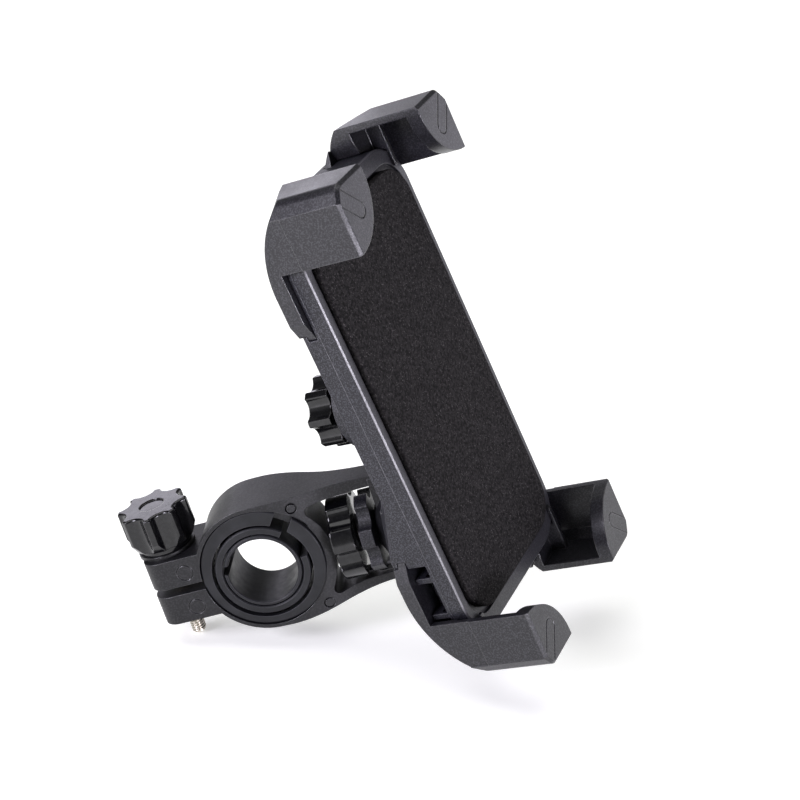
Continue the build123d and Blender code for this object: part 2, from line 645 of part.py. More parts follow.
export_step(back_cover.part, "parts/back_cover.step")


def pan_screws(positions, seat_z, head_r, head_t, shank_r, length):
    """A group of cross-head screws driven towards +z, with their heads at the back."""
    with BuildPart() as screws:
        with BuildSketch(Plane.XY.offset(seat_z)):
            with Locations(*positions):
                Circle(head_r)
        extrude(amount=-head_t)
        fillet(screws.edges().group_by(Axis.Z)[0], head_t * 0.45)
        with BuildSketch(Plane.XY.offset(seat_z - head_t)):
            with Locations(*positions):
                Rectangle(head_r * 1.1, head_r * 0.22)
                Rectangle(head_r * 0.22, head_r * 1.1)
        extrude(amount=head_t * 0.5, mode=Mode.SUBTRACT)
        with BuildSketch(Plane.XY.offset(seat_z)):
            with Locations(*positions):
                Circle(shank_r)
        extrude(amount=length)
    return screws.part


with BuildPart() as cover_screws:
    add(pan_screws(COVER_SCREWS, SCREW_SEAT_Z, 2.5, 1.6, 1.2, 4.7))
cover_screws.part = cover_screws.part.moved(HOLDER)
cover_screws.part.label = "cover_screws"
export_step(cover_screws.part, "parts/cover_screws.step")

with BuildPart() as dome_screws:
    add(pan_screws(SEAT_SCREWS, CHANNEL_BACK - FLANGE_T + 1.2, 2.2, 1.1, 1.2, 5.8))
dome_screws.part = dome_screws.part.moved(HOLDER)
dome_screws.part.label = "dome_screws"
export_step(dome_screws.part, "parts/dome_screws.step")


# ================================================================ claws and their drive
def corner_outline(inset=0.0, mode=Mode.INTERSECT):
    """Everything inside a claw's outer walls, moved in by inset; the corner is cut off."""
    (side_a, side_b), (end_a, end_b) = CLAW_CHAMFER
    slant = inset * 0.45
    Polygon((-CLAW_A, -CLAW_B), (CLAW_A - inset, -CLAW_B), (side_a - inset, side_b - slant),
            (end_a - slant, end_b - inset), (-CLAW_A, CLAW_B - inset), align=None, mode=mode)


def lip_disc(radius=LIP_R, mode=Mode.ADD):
    """The lip's inner edge is part of this circle."""
    with Locations(LIP_CENTRE):
        Circle(radius, mode=mode)


def rib_rectangle():
    """The foot's rib, seen from the front."""
    with Locations((sum(RIB_A) / 2, sum(RIB_B) / 2)):
        Rectangle(RIB_A[1] - RIB_A[0], RIB_B[1] - RIB_B[0])


def arm_outline(level):
    """Arm plate without its teeth: a bar beside the pinion that widens towards the claw."""
    near, far = sorted((level["side"] * RACK_ROOT, level["side"] * BAR_OUTER))
    slide_rectangle(BAR_TAIL, level["curve"] + 12, near, far)
    slide_rectangle(WING_START, 2 * CLAW_B, WING[0], WING[1])


def rack_teeth(side):
    """Rack teeth along the bar's edge; a gap is centred on the pinion when the claws are in."""
    pitch = math.pi * MODULE
    slope = math.tan(math.radians(PRESSURE_ANGLE))
    half = pitch / 4 - BACKLASH / 2
    tip_half = half - (PITCH_R - RACK_TIP) * slope
    root_half = half + (RACK_ROOT - PITCH_R) * slope
    for step in range(-11, 2):
        middle = (step + 0.5) * pitch
        profile = [(middle - tip_half, side * RACK_TIP), (middle + tip_half, side * RACK_TIP),
                   (middle + root_half, side * RACK_ROOT), (middle + root_half, side * (RACK_ROOT + 0.5)),
                   (middle - root_half, side * (RACK_ROOT + 0.5)), (middle - root_half, side * RACK_ROOT)]
        Polygon(*[corner_point(t, o) for t, o in profile], align=None)


def claw_at(level):
    """Claw, foot and toothed arm in one moulding, drawn for the upper right corner."""
    low, high = level["plate"]
    back = level["back"]
    with BuildPart() as claw:
        # arm plate with its rack
        with BuildSketch(Plane.XY.offset(low)):
            arm_outline(level)
            rack_teeth(level["side"])
            corner_outline()
        extrude(amount=high - low)
        # the part outside the housing is thicker and closes the slot
        with BuildSketch(Plane.XY.offset(back)):
            arm_outline(level)
            lip_disc()
            corner_outline()
            rounded_plate(CLEARANCE - RUNNING, mode=Mode.SUBTRACT)
        extrude(amount=high - back)
        # foot under the phone's corner
        with BuildSketch(Plane.XY.offset(back)):
            lip_disc()
            corner_outline()
            rounded_plate(CLEARANCE - RUNNING, mode=Mode.SUBTRACT)
        extrude(amount=CLAW_FLOOR - back)
        # side wall, cut-off corner and end wall
        with BuildSketch(Plane.XY.offset(CLAW_FLOOR)):
            lip_disc()
            corner_outline()
            corner_outline(CLAW_WALL, Mode.SUBTRACT)
        extrude(amount=LIP_FRONT - CLAW_FLOOR)
        # front lip, deeper along its curved inner edge
        with BuildSketch(Plane.XY.offset(LIP_FRONT - LIP_T)):
            lip_disc()
            corner_outline()
        extrude(amount=LIP_T)
        with BuildSketch(Plane.XY.offset(LIP_FRONT - LIP_T - 1.8)):
            lip_disc()
            lip_disc(LIP_R - 1.6, Mode.SUBTRACT)
            corner_outline()
        extrude(amount=1.8)
        # stiffening rib that reaches from the foot in over the tray's rim
        with BuildSketch(Plane.XY.offset(CLAW_FLOOR)):
            rib_rectangle()
            rounded_plate(CLEARANCE, mode=Mode.SUBTRACT)
        extrude(amount=RIB_TOP - CLAW_FLOOR)
        with BuildSketch(Plane.XY.offset(CLEARANCE)):
            rib_rectangle()
        extrude(amount=RIB_TOP - CLEARANCE)
        # rounded upright edge beside the end wall, and the step behind the side wall's panel
        uprights = claw.edges().filter_by(Axis.Z).filter_by_position(Axis.Y, CLAW_B - 0.1, CLAW_B + 0.1)
        fillet(uprights.sort_by(Axis.X)[-1], CLAW_CORNER_R)
        with BuildSketch(Plane.XY.offset(back)):
            with Locations((CLAW_A, CLAW_CHAMFER[0][1] / 2)):
                Rectangle(2 * PANEL_STEP, CLAW_CHAMFER[0][1])
        extrude(amount=PANEL_BACK - back, mode=Mode.SUBTRACT)
        # the back sweeps forward in one curve from the arm to the claw's end
        rise = BACK_CURVE_R - BACK_CURVE_R * math.cos(math.radians(72))
        slide_section = Plane(origin=(0, 0, back), x_dir=(SIN, COS, 0), z_dir=(COS, -SIN, 0))
        with BuildSketch(slide_section):
            with Locations((level["curve"] + 15, rise / 2 - 3)):
                Rectangle(30, rise + 6)
            with Locations((level["curve"], BACK_CURVE_R)):
                Circle(BACK_CURVE_R, mode=Mode.SUBTRACT)
        extrude(amount=CLAW_B, both=True, mode=Mode.SUBTRACT)
        # softened outer edges of the lip
        top = claw.faces().filter_by(Plane.XY).sort_by(Axis.Z)[-1]
        chamfer(top.edges().filter_by(GeomType.LINE), LIP_EDGE)
        # engraved pill outline on the lip, open towards the corner
        with BuildSketch(Plane.XY.offset(LIP_FRONT)):
            with Locations(Location((28, 61.5, 0), (0, 0, 45))):
                SlotOverall(15.5, 4.2)
                SlotOverall(14.9, 3.6, mode=Mode.SUBTRACT)
            corner_outline(LIP_EDGE + 0.1)
        extrude(amount=-0.25, mode=Mode.SUBTRACT)
    return claw.part


for claw_name, (claw_level, claw_hand, claw_turn) in CORNERS.items():
    finished_claw = placed(claw_at(claw_level), claw_hand, claw_turn).moved(HOLDER)
    finished_claw.label = claw_name
    export_step(finished_claw, f"parts/{claw_name}.step")


def gear_section(first_tooth):
    """Pinion outline with involute flanks; first_tooth is the angle of one tooth's middle."""
    base_r = PITCH_R * math.cos(math.radians(PRESSURE_ANGLE))
    involute = math.tan(math.radians(PRESSURE_ANGLE)) - math.radians(PRESSURE_ANGLE)
    half_at_pitch = math.pi / (2 * TEETH) - BACKLASH / 2 / PITCH_R
    Circle(GEAR_ROOT_R)
    for tooth in range(TEETH):
        middle = math.radians(first_tooth) + 2 * math.pi * tooth / TEETH
        flank = []
        for radius in (GEAR_ROOT_R - 0.3, base_r, PITCH_R, PITCH_R + 0.35, GEAR_TIP_R):
            angle = math.acos(min(1.0, base_r / radius))
            half = half_at_pitch + involute - (math.tan(angle) - angle)
            flank.append((radius, half))
        right = [(r * math.cos(middle - half), r * math.sin(middle - half)) for r, half in flank]
        left = [(r * math.cos(middle + half), r * math.sin(middle + half)) for r, half in reversed(flank)]
        Polygon(*right, *left, align=None)


with BuildPart() as pinion:
    for gear_level, first_tooth in ((LEVEL_A, SLIDE_ANGLE), (LEVEL_B, 180 - SLIDE_ANGLE)):
        with BuildSketch(Plane.XY.offset(gear_level["plate"][0])):
            gear_section(first_tooth)
        extrude(amount=gear_level["plate"][1] - gear_level["plate"][0])
    with BuildSketch(Plane.XY.offset(LEVEL_B["plate"][0])):
        Circle(GEAR_ROOT_R - 0.2)
    extrude(amount=LEVEL_A["plate"][0] - LEVEL_B["plate"][0])
    with BuildSketch(Plane.XY.offset(LEVEL_A["plate"][1])):
        Circle(2.0)
    extrude(amount=2.6)
    with BuildSketch(Plane.XY.offset(CLAW_KNOB_Z[0] + 2)):
        Circle(SHAFT_R)
    extrude(amount=LEVEL_B["plate"][0] - CLAW_KNOB_Z[0] - 2)
    with BuildSketch(Plane.XY.offset(CLAW_KNOB_Z[0] + 2)):
        Circle(1.52)
    extrude(amount=7, mode=Mode.SUBTRACT)
pinion.part = pinion.part.moved(HOLDER)
pinion.part.label = "pinion"
export_step(pinion.part, "parts/pinion.step")

with BuildPart() as claw_knob:
    with BuildSketch(Plane.XY.offset(CLAW_KNOB_Z[0])) as claw_knob_section:
        with Locations(Location((0, 0, 0), (0, 0, CLAW_KNOB_TURN))):
            star_outline(CLAW_KNOB_R, 8, 1.9, 0.88)
        fillet(claw_knob_section.vertices(), 0.5)
    extrude(amount=CLAW_KNOB_Z[1] - CLAW_KNOB_Z[0])
    fillet(claw_knob.edges().group_by(Axis.Z)[0], 0.5)
    with BuildSketch(Plane.XY.offset(CLAW_KNOB_Z[1])):
        Circle(CLAW_COLLAR_R)
    extrude(amount=BOSS_BACK - CLEARANCE - CLAW_KNOB_Z[1])
    with BuildSketch(Plane.XY.offset(CLAW_KNOB_Z[0] + 1.9)):
        Circle(SHAFT_R + 0.02)
    extrude(amount=-CLAW_KNOB_Z[0], mode=Mode.SUBTRACT)
    with BuildSketch(Plane.XY.offset(CLAW_KNOB_Z[0])):
        Circle(1.6)
    extrude(amount=2.5, mode=Mode.SUBTRACT)
claw_knob.part = claw_knob.part.moved(HOLDER)
claw_knob.part.label = "claw_knob"
export_step(claw_knob.part, "parts/claw_knob.step")

with BuildPart() as claw_knob_washer:
    with BuildSketch(Plane.XY.offset(CLAW_KNOB_Z[0])):
        Circle(4.4)
        Circle(1.6, mode=Mode.SUBTRACT)
    extrude(amount=-0.8)
claw_knob_washer.part = claw_knob_washer.part.moved(HOLDER)
claw_knob_washer.part.label = "claw_knob_washer"
export_step(claw_knob_washer.part, "parts/claw_knob_washer.step")

with BuildPart() as claw_knob_screw:
    add(pan_screws([(0, 0)], CLAW_KNOB_Z[0] - 0.8, 3.7, 2.6, 1.5, 8.6))
claw_knob_screw.part = claw_knob_screw.part.moved(HOLDER)
claw_knob_screw.part.label = "claw_knob_screw"
export_step(claw_knob_screw.part, "parts/claw_knob_screw.step")

with BuildPart() as friction_spring:
    with BuildSketch(Plane.XZ):
        with BuildLine():
            Polyline((4.2, -24.25), (7.4, -23.1), (7.4, -22.55), (4.2, -23.7), (4.2, -24.25))
        make_face()
    revolve(axis=Axis.Z)
friction_spring.part = friction_spring.part.moved(HOLDER)
friction_spring.part.label = "friction_spring"
export_step(friction_spring.part, "parts/friction_spring.step")
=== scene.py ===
import json
import math

import bmesh
import bpy
from mathutils import Matrix, Vector, noise


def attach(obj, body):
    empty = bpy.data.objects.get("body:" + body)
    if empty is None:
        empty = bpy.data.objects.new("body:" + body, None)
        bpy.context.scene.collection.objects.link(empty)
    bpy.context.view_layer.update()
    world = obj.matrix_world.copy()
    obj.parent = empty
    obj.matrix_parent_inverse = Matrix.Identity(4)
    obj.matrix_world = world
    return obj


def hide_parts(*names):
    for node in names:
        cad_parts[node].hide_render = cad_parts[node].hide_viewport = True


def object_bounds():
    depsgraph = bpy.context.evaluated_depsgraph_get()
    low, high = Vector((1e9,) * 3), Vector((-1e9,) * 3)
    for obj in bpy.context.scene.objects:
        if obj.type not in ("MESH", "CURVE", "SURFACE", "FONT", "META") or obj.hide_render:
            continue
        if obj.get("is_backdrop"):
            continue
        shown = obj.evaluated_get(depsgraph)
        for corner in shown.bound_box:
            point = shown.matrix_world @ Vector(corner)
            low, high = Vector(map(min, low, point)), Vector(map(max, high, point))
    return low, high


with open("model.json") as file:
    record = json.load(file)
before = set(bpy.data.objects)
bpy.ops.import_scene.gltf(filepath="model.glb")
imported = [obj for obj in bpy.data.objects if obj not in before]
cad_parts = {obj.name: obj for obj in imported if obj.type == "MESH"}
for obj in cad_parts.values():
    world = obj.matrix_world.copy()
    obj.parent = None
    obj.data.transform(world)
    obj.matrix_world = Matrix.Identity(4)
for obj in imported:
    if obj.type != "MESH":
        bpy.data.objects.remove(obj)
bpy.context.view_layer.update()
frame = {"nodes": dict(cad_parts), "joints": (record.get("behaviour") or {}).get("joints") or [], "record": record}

MM = 0.001
SCENE = bpy.context.scene
NODES = frame["nodes"]
JOINTS = {joint["name"]: joint for joint in frame["joints"]}

# ---------------------------------------------------------------- looks
UNIT = (0.0, 1.0)
NOISE_MIDDLE = (0.3, 0.7)            # where nearly all values of a noise lie
EDGE_TURN = (0.995, 0.86)            # cosine between flat and softened normal, from no edge to full edge
BEVEL_SAMPLES = 6

# moulded plastic
CLOUD_MM = 14.0                      # cloudy patches in the sheen
CLOUD_BAND = (0.35, 0.65)
CLOUD_WEAR_AND_HIGHLIGHT = (0.25, 0.85)            # how much of the edge wear and painted edge highlight shows, from patch to patch
CLOUD_ROUGHNESS = (0.04, 0.05)       # taken off and added
GRAIN_ROUGHNESS = (-0.04, 0.04)
GRAIN_DEPTH_MM = 0.06
GRAIN_BUMP = 0.7
SPECKLE_SIZE = 0.8                   # of the grain's size
SPECKLE_BAND = (0.46, 0.64)
SPECKLE_DARK = 0.6                   # of the plastic's colour
SPECKLE_PALE = 3.0
SPECKLE_SHEEN = 0.22
EDGE_SHEEN = 0.4
EDGE_POLISH = 0.14

# the tray's rim: the cosine between the surface and the screen's axis tells its face and bevel apart; the face
# gets a paler colour as painted light, the bevel a paler colour with more shine as a painted highlight
RIM_FACE_BAND = (0.93, 0.97)
RIM_FACE_SHARE = 0.85
RIM_FACE_PAINTED_LIGHT = (0.032, 0.031, 0.037)
RIM_BEVEL_START = (0.55, 0.66)
RIM_BEVEL_END = (0.76, 0.86)
RIM_BEVEL_PAINTED_HIGHLIGHT = (0.07, 0.068, 0.077)
RIM_BEVEL_SHEEN = 0.5
RIM_BEVEL_POLISH = 0.10

# foam
FOAM_DARK = (0.0050, 0.0046, 0.0050)
FOAM_PALE = (0.0235, 0.0215, 0.0225)
FOAM_CELL_COLOUR = (0.085, 0.077, 0.080)

# rubber; its pale edge colour is a painted highlight
RUBBER_EDGE_HIGHLIGHT = (0.055, 0.054, 0.062)
RUBBER_DUST_GAIN = 2.2
RUBBER_DUST_LIFT = 0.006

# paper
PAPER_COLOURS = ((0.93, 0.935, 0.90), (0.95, 0.955, 0.92))
PAPER_GLOW = 0.32
WHITE = (1.0, 1.0, 1.0, 1.0)

# ---------------------------------------------------------------- modelled pieces
PAD_CORNER_R = 9 * MM
PAD_SMALLEST_R = 0.4 * MM
PAD_CORNER_STEPS = 10
PAD_EDGE_R = 0.55 * MM               # rolled edge
PAD_EDGE_STEPS = 5
PAD_SINK = 0.05 * MM                 # face below the top of the CAD pad, so that its waves stay inside
PAD_INSETS_MM = (1.2, 2.0, 3.0, 4.5, 6.5, 9.0, 12.0, 15.5, 19.0, 22.5)
PAD_WELD = 0.01 * MM
PAD_LONG_EDGE = 4 * MM
PAD_CUTS = 8
PAD_WAVE_ZONE = 0.3 * MM             # vertices this near the face are moved
PAD_WAVES = (90.0, 260.0)            # per metre
PAD_SECOND_WAVE = 0.5
PAD_WAVE_MM = 0.05
PAD_WAVE_LIMIT_MM = 0.04

THREAD_PITCH = 0.7 * MM
THREAD_DEPTH = 0.42 * MM
THREAD_AROUND = 28
THREAD_ROWS_PER_TURN = 6
THREAD_FLANK = 1.25                  # steepness of the flanks
THREAD_CREST = 0.12                  # flat left at the crest
THREAD_TIP = 0.5 * MM                # length of the blunt end's taper
THREAD_TIP_CUT = 0.45 * MM           # radius lost at its end

# ---------------------------------------------------------------- studio
FLOOR_HALF_M = 3.0
FLOOR_SEGMENTS = 8
FLOOR_GAP = 0.2 * MM
LIGHT_COLOUR = (0.90, 0.87, 1.0)
LIGHT_TARGET = (0.03, 0.0, 0.04)
AREA_LIGHTS = (
    # name, position, width, height, watts
    ("key", (-0.52, -0.50, 0.32), 0.28, 0.28, 6.8),
    ("right_panel", (0.80, 0.42, 0.12), 0.8, 0.7, 2.7),
    ("back_panel", (-0.30, 0.85, 0.18), 0.35, 0.25, 0.62),
    ("edge_light", (0.46, -0.60, 0.03), 0.24, 0.12, 3.2),
)
SUN_TOWARD = (0.16, -0.12, -1.0)
SUN_STRENGTH = 1.7
SUN_SPREAD_DEG = 66
SKY_FADE_TOP = 0.45                  # height of the view direction where the fade ends
SKY_STRENGTH = (0.5, 0.12)           # at the horizon, above the fade

SENSOR_MM = 36.0
LENS_MM = 91.507
NEAREST_M = 0.01
EYE = (0.0581, -0.4691, 0.2521)
EYE_RIGHT = (0.998783, 0.049330, 0.0)
EYE_BACK = (0.045039, -0.914036, 0.403125)


# ---------------------------------------------------------------- frames taken from the joints
def frame_matrix(origin, x_axis, y_axis, z_axis):
    """4x4 matrix whose columns are three axes and an origin."""
    rotation = Matrix((x_axis, y_axis, z_axis)).transposed()
    return Matrix.Translation(origin) @ rotation.to_4x4()


def holder_frame():
    """x across the phone, y up it, z out of the screen; origin on the claw knob's axis."""
    knob = JOINTS["claw_knob_turn"]
    z_axis = Vector(knob["axis"]).normalized()
    right = Vector(JOINTS["claw_upper_right_slide"]["axis"])
    left = Vector(JOINTS["claw_upper_left_slide"]["axis"])
    y_axis = (right + left).normalized()
    return frame_matrix(Vector(knob["pos_m"]), y_axis.cross(z_axis), y_axis, z_axis)


def screw_frame():
    """z up the clamp screw; origin on its axis, where the clamp knob's joint stands."""
    knob = JOINTS["clamp_knob_turn"]
    z_axis = Vector(knob["axis"]).normalized()
    y_axis = Vector((0, 1, 0))
    return frame_matrix(Vector(knob["pos_m"]), y_axis.cross(z_axis), y_axis, z_axis)


HOLDER = holder_frame()
SCREW = screw_frame()


def extent(node, matrix):
    """Lowest and highest corner of a CAD node, measured along the axes of matrix."""
    local = [matrix.inverted() @ vertex.co for vertex in NODES[node].data.vertices]
    low = Vector([min(point[i] for point in local) for i in range(3)])
    high = Vector([max(point[i] for point in local) for i in range(3)])
    return low, high


# ---------------------------------------------------------------- materials
class Shader:
    """A small helper round one material's node tree."""

    def __init__(self, name):
        self.material = bpy.data.materials.new(name)
        self.material.use_nodes = True
        self.tree = self.material.node_tree
        self.bsdf = self.tree.nodes["Principled BSDF"]
        coordinates = self.node("ShaderNodeTexCoord")
        self.place = coordinates.outputs["Object"]
        self.normal = coordinates.outputs["Normal"]

    def node(self, kind, **settings):
        made = self.tree.nodes.new(kind)
        for key, value in settings.items():
            setattr(made, key, value)
        return made

    def link(self, source, target):
        self.tree.links.new(source, target)

    def fill(self, **inputs):
        """Sets inputs of the surface; an underscore stands for a space."""
        for key, value in inputs.items():
            self.bsdf.inputs[key.replace("_", " ")].default_value = value

    def noise(self, size_mm, detail=3.0, roughness=0.55):
        """Noise whose features are about size_mm across."""
        made = self.node("ShaderNodeTexNoise")
        made.inputs["Scale"].default_value = 1.0 / (size_mm * MM)
        made.inputs["Detail"].default_value = detail
        made.inputs["Roughness"].default_value = roughness
        self.link(self.place, made.inputs["Vector"])
        return made.outputs["Fac"]

    def cells(self, size_mm):
        """Distance to the nearest of scattered points, for pores."""
        made = self.node("ShaderNodeTexVoronoi")
        made.inputs["Scale"].default_value = 1.0 / (size_mm * MM)
        self.link(self.place, made.inputs["Vector"])
        return made.outputs["Distance"]

    def spread(self, source, band, result=UNIT):
        """Maps the band of source to the result range and holds it outside."""
        made = self.node("ShaderNodeMapRange")
        names = ("From Min", "From Max", "To Min", "To Max")
        for key, value in zip(names, (*band, *result)):
            made.inputs[key].default_value = value
        self.link(source, made.inputs["Value"])
        return made.outputs["Result"]

    def math(self, operation, first, second):
        clamped = operation != "SUBTRACT"
        made = self.node("ShaderNodeMath", operation=operation, use_clamp=clamped)
        for socket, value in zip(made.inputs, (first, second)):
            if isinstance(value, (int, float)):
                socket.default_value = value
            else:
                self.link(value, socket)
        return made.outputs[0]

    def blend(self, factor, first, second):
        """Colour mix; first and second are RGB triples or sockets."""
        made = self.node("ShaderNodeMix", data_type="RGBA")
        self.link(factor, made.inputs["Factor"])
        for socket, value in ((made.inputs[6], first), (made.inputs[7], second)):
            if isinstance(value, tuple):
                socket.default_value = (*value, 1.0)
            else:
                self.link(value, socket)
        return made.outputs[2]

    def round_edges(self, radius_mm):
        """Softened normal at edges, and a mask that is 1 along the edges, for edge wear and painted edge
        highlights.
        """
        bevel = self.node("ShaderNodeBevel", samples=BEVEL_SAMPLES)
        bevel.inputs["Radius"].default_value = radius_mm * MM
        surface = self.node("ShaderNodeNewGeometry")
        turn = self.node("ShaderNodeVectorMath", operation="DOT_PRODUCT")
        self.link(bevel.outputs["Normal"], turn.inputs[0])
        self.link(surface.outputs["Normal"], turn.inputs[1])
        mask = self.spread(turn.outputs["Value"], EDGE_TURN)
        return bevel.outputs["Normal"], mask

    def facing(self, axis):
        """How far the surface faces along a fixed axis of its own piece, from -1 to 1."""
        made = self.node("ShaderNodeVectorMath", operation="DOT_PRODUCT")
        self.link(self.normal, made.inputs[0])
        made.inputs[1].default_value = axis
        return made.outputs["Value"]

    def bump(self, height, strength, depth_mm, normal=None):
        made = self.node("ShaderNodeBump")
        made.inputs["Strength"].default_value = strength
        made.inputs["Distance"].default_value = depth_mm * MM
        self.link(height, made.inputs["Height"])
        if normal is not None:
            self.link(normal, made.inputs["Normal"])
        self.link(made.outputs["Normal"], self.bsdf.inputs["Normal"])


def moulded_plastic(name, colour, worn_and_highlight, roughness, grain_mm, grain, edge_mm,
                    sheen=0.5, painted_light_axis=None):
    """Black moulded plastic: fine grain, cloudy sheen, edges rubbed a little lighter and smoother; the paler edge
    colour is wear and a painted highlight in one.

    Given a rim axis, faces along that axis get a paler colour as painted light, and the bevel beside them is
    polished and painted paler as a painted highlight.
    """
    shader = Shader(name)
    normal, edges = shader.round_edges(edge_mm)
    cloud = shader.noise(CLOUD_MM)
    fine = shader.noise(grain_mm, detail=2.0, roughness=0.7)
    speckle = shader.spread(shader.noise(grain_mm * SPECKLE_SIZE, detail=1.0), SPECKLE_BAND)
    # paler edges: wear and a painted highlight along the edges, varied from patch to patch
    rubbed = shader.math("MULTIPLY", edges, shader.spread(cloud, CLOUD_BAND, CLOUD_WEAR_AND_HIGHLIGHT))
    dark = tuple(channel * SPECKLE_DARK for channel in colour)
    pale = tuple(channel * SPECKLE_PALE for channel in colour)
    grained = shader.blend(shader.math("MULTIPLY", speckle, grain), dark, pale)
    sheens = (sheen - SPECKLE_SHEEN * grain, sheen + SPECKLE_SHEEN * grain)
    shine = shader.math("ADD", shader.spread(speckle, UNIT, sheens),
                        shader.math("MULTIPLY", edges, EDGE_SHEEN))
    # edge colour painted paler: wear and painted highlight
    coloured = shader.blend(rubbed, grained, worn_and_highlight)
    clouded = (roughness - CLOUD_ROUGHNESS[0], roughness + CLOUD_ROUGHNESS[1])
    gloss = shader.math("ADD", shader.spread(cloud, NOISE_MIDDLE, clouded),
                        shader.spread(fine, NOISE_MIDDLE, GRAIN_ROUGHNESS))
    polished = shader.math("SUBTRACT", gloss, shader.math("MULTIPLY", edges, EDGE_POLISH))
    if painted_light_axis is not None:
        # painted light: the rim's face is painted paler and its bevel gets a painted highlight, picked by which
        # way the surface faces
        facing = shader.facing(painted_light_axis)
        face = shader.math("MULTIPLY", shader.spread(facing, RIM_FACE_BAND), RIM_FACE_SHARE)
        bevel = shader.math("MULTIPLY", shader.spread(facing, RIM_BEVEL_START),
                            shader.spread(facing, RIM_BEVEL_END, (1.0, 0.0)))
        coloured = shader.blend(face, coloured, RIM_FACE_PAINTED_LIGHT)
        coloured = shader.blend(bevel, coloured, RIM_BEVEL_PAINTED_HIGHLIGHT)
        shine = shader.math("ADD", shine, shader.math("MULTIPLY", bevel, RIM_BEVEL_SHEEN))
        rubbed_off = shader.math("MULTIPLY", bevel, RIM_BEVEL_POLISH)
        polished = shader.math("SUBTRACT", polished, rubbed_off)
    shader.link(shine, shader.bsdf.inputs["Specular IOR Level"])
    shader.link(coloured, shader.bsdf.inputs["Base Color"])
    shader.link(polished, shader.bsdf.inputs["Roughness"])
    shader.bump(fine, GRAIN_BUMP * grain, GRAIN_DEPTH_MM, normal)
    return shader.material


def rubber(name, colour, roughness):
    """Satin rubber with a dusty bloom, pale edges painted on as a highlight, and fine mould texture."""
    shader = Shader(name)
    normal, edges = shader.round_edges(0.25)
    bloom = shader.spread(shader.noise(5.0, detail=5.0), band=(0.4, 0.7), result=(0.0, 0.5))
    dusty = tuple(channel * RUBBER_DUST_GAIN + RUBBER_DUST_LIFT for channel in colour)
    dull = shader.blend(bloom, colour, dusty)
    # painted highlight: pale colour along every edge
    edge_highlighted = shader.blend(edges, dull, RUBBER_EDGE_HIGHLIGHT)
    satin = shader.spread(shader.noise(2.0), NOISE_MIDDLE, (roughness - 0.06, roughness + 0.08))
    shader.link(edge_highlighted, shader.bsdf.inputs["Base Color"])
    shader.link(satin, shader.bsdf.inputs["Roughness"])
    shader.fill(Specular_IOR_Level=0.3)
    shader.bump(shader.noise(0.35, detail=2.0), strength=0.2, depth_mm=0.04, normal=normal)
    return shader.material


def foam(name):
    """Closed-cell foam skin: dark, mottled, with pale pin-prick cells and a nap."""
    shader = Shader(name)
    cell = shader.cells(size_mm=0.46)
    patches = shader.spread(shader.noise(0.9, detail=1.0), band=(0.45, 0.6))
    centres = shader.spread(cell, band=(0.18, 0.34), result=(1.0, 0.0))
    pinprick = shader.math("MULTIPLY", centres, patches)
    mottle = shader.spread(shader.noise(0.7, detail=2.0), band=(0.38, 0.64))
    body = shader.blend(mottle, FOAM_DARK, FOAM_PALE)
    pricked = shader.blend(pinprick, body, FOAM_CELL_COLOUR)
    shader.link(pricked, shader.bsdf.inputs["Base Color"])
    shader.fill(Roughness=0.95, Specular_IOR_Level=0.14)
    nap = shader.math("ADD", cell, shader.noise(0.3, detail=2.0))
    shader.bump(nap, strength=0.6, depth_mm=0.12)
    return shader.material


def metal(name, colour, roughness, scratch=0.1):
    """Plated steel with fine scratches and slight staining."""
    shader = Shader(name)
    normal, _ = shader.round_edges(0.12)
    stain = shader.spread(shader.noise(2.5, detail=4.0), band=(0.35, 0.7))
    darker = tuple(channel * 0.72 for channel in colour)
    stained = shader.blend(stain, colour, darker)
    dulled = shader.spread(shader.noise(0.6), NOISE_MIDDLE, (roughness, roughness + 0.14))
    shader.link(stained, shader.bsdf.inputs["Base Color"])
    shader.link(dulled, shader.bsdf.inputs["Roughness"])
    shader.fill(Metallic=1.0)
    shader.bump(shader.noise(0.25, detail=3.0), scratch, depth_mm=0.02, normal=normal)
    return shader.material


def paper(name):
    """Seamless white paper that glows a little, so that it stays white away from the lights."""
    shader = Shader(name)
    fibres = shader.blend(shader.noise(3.0, detail=3.0), *PAPER_COLOURS)
    shader.link(fibres, shader.bsdf.inputs["Base Color"])
    shader.fill(Roughness=0.9, Specular_IOR_Level=0.1)
    shader.fill(Emission_Color=WHITE, Emission_Strength=PAPER_GLOW)
    return shader.material


